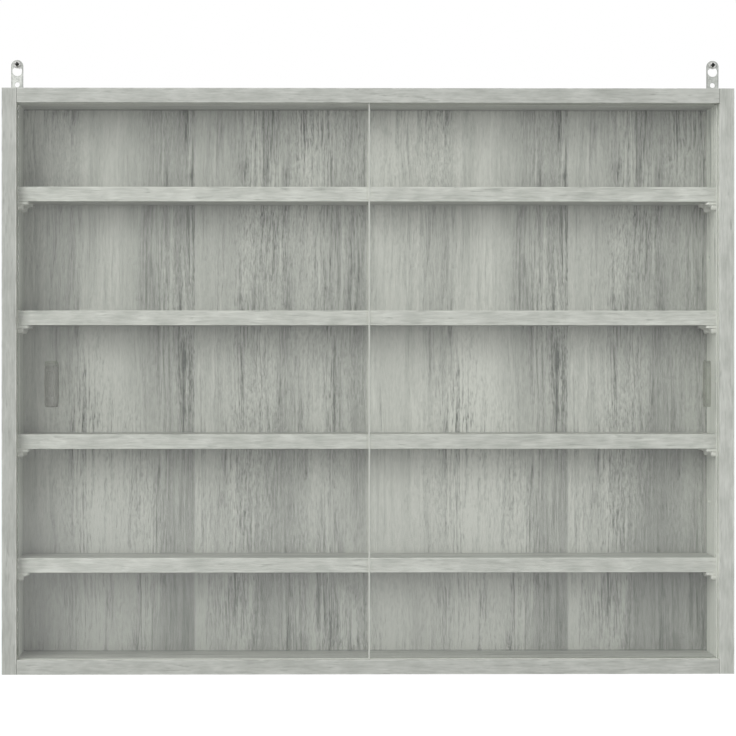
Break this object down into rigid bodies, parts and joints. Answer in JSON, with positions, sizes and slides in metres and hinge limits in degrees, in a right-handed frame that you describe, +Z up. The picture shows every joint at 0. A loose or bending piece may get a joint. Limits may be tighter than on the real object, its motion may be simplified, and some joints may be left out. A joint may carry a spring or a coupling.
{
  "type": "wall display cabinet",
  "caption": "Shallow wall display cabinet: wood-grain board case, shelves on peg supports, sliding glass doors in twin-channel tracks, keyhole hangers at the back.",
  "frame": {"origin": "on the wall plane, midway between the hangers' small round holes", "axes": "+X to the right seen from the front, +Y back into the wall, +Z up"},
  "size_m": [0.8, 0.115, 0.6805],
  "materials": {
    "grain_board": "pale grey wood-grain melamine on chipboard",
    "edge_band": "pale grey wood-grain edge band",
    "back_sheet": "grey wood-grain printed sheet",
    "shelf_support": "pale grey moulded plastic",
    "door_glass": "clear float glass with ground edges",
    "pull_plastic": "smoked grey translucent plastic",
    "track_plastic": "grey extruded plastic",
    "hanger_zinc": "zinc-plated pressed steel",
    "screw_steel": "bright plated steel",
    "cam_metal": "die-cast zinc",
    "dowel_wood": "fluted beech"
  },
  "bodies": {
    "carcass": {"back_panel": "back_sheet", "bottom_front_band": "edge_band", "bottom_panel": "grain_board", "bottom_track": "track_plastic", "cam_bolts": "cam_metal", "cam_locks": "cam_metal", "corner_dowels": "dowel_wood", "left_hanger_screws": "screw_steel", "left_side_bottom_end_band": "edge_band", "left_side_front_band": "edge_band", "left_side_panel": "grain_board", "left_side_top_end_band": "edge_band", "left_wall_hanger": "hanger_zinc", "left_wall_screw": "screw_steel", "right_hanger_screws": "screw_steel", "right_side_bottom_end_band": "edge_band", "right_side_front_band": "edge_band", "right_side_panel": "grain_board", "right_side_top_end_band": "edge_band", "right_wall_hanger": "hanger_zinc", "right_wall_screw": "screw_steel", "shelf_1": "grain_board", "shelf_1_front_band": "edge_band", "shelf_1_support_left_front": "shelf_support", "shelf_1_support_left_rear": "shelf_support", "shelf_1_support_right_front": "shelf_support", "shelf_1_support_right_rear": "shelf_support", "shelf_2": "grain_board", "shelf_2_front_band": "edge_band", "shelf_2_support_left_front": "shelf_support", "shelf_2_support_left_rear": "shelf_support", "shelf_2_support_right_front": "shelf_support", "shelf_2_support_right_rear": "shelf_support", "shelf_3": "grain_board", "shelf_3_front_band": "edge_band", "shelf_3_support_left_front": "shelf_support", "shelf_3_support_left_rear": "shelf_support", "shelf_3_support_right_front": "shelf_support", "shelf_3_support_right_rear": "shelf_support", "shelf_4": "grain_board", "shelf_4_front_band": "edge_band", "shelf_4_support_left_front": "shelf_support", "shelf_4_support_left_rear": "shelf_support", "shelf_4_support_right_front": "shelf_support", "shelf_4_support_right_rear": "shelf_support", "top_front_band": "edge_band", "top_panel": "grain_board", "top_track": "track_plastic"},
    "left_door": {"left_door_glass": "door_glass", "left_door_pull": "pull_plastic"},
    "right_door": {"right_door_glass": "door_glass", "right_door_pull": "pull_plastic"}
  },
  "joints": [
    {"name": "left_door_slide", "type": "slide", "parent": "carcass", "child": "left_door", "axis": [1, 0, 0], "range_m": [0, 0.3815]},
    {"name": "right_door_slide", "type": "slide", "parent": "carcass", "child": "right_door", "axis": [1, 0, 0], "range_m": [-0.3815, 0]}
  ]
}
